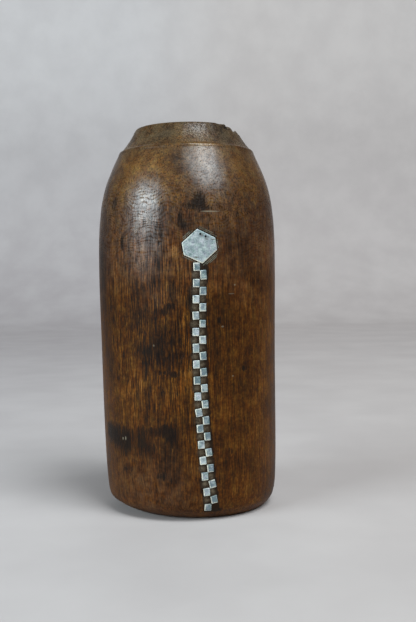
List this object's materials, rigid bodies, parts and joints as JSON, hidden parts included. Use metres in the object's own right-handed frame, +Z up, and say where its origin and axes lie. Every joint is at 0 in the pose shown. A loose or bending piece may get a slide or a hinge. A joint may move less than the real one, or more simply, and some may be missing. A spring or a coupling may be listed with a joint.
{
  "type": "milk container",
  "caption": "Carved wooden milk container with rounded shoulders and a short flared neck, its front inlaid with a six-sided metal plate above a chequered strip of tiles.",
  "frame": {"origin": "middle of the foot, on the surface that the container stands on", "axes": "+Z up through the mouth, -Y out of the inlaid front, +X to the right of someone facing that front"},
  "size_m": [0.1086, 0.1086, 0.23],
  "materials": {
    "wood": "dark hand-rubbed hardwood, glossy on the shoulders and drier at the neck, with black stains and orange-brown streaks along the grain",
    "inlay_metal": "hammered and filed soft grey metal, worn to a satin with fine scratches and bright edges"
  },
  "bodies": {
    "root": {"vessel_body": "wood", "six_sided_plate": "inlay_metal", "tile_01_left": "inlay_metal", "tile_02_right": "inlay_metal", "tile_03_left": "inlay_metal", "tile_04_right": "inlay_metal", "tile_05_left": "inlay_metal", "tile_06_right": "inlay_metal", "tile_07_left": "inlay_metal", "tile_08_right": "inlay_metal", "tile_09_left": "inlay_metal", "tile_10_right": "inlay_metal", "tile_11_left": "inlay_metal", "tile_12_right": "inlay_metal", "tile_13_left": "inlay_metal", "tile_14_right": "inlay_metal", "tile_15_left": "inlay_metal", "tile_16_right": "inlay_metal", "tile_17_left": "inlay_metal", "tile_18_right": "inlay_metal", "tile_19_left": "inlay_metal", "tile_20_right": "inlay_metal", "tile_21_left": "inlay_metal", "tile_22_right": "inlay_metal", "tile_23_left": "inlay_metal", "tile_24_right": "inlay_metal", "tile_25_left": "inlay_metal", "tile_26_right": "inlay_metal", "tile_27_left": "inlay_metal", "tile_28_right": "inlay_metal", "tile_29_left": "inlay_metal", "tile_30_right": "inlay_metal", "tile_31_left": "inlay_metal"}
  },
  "joints": []
}
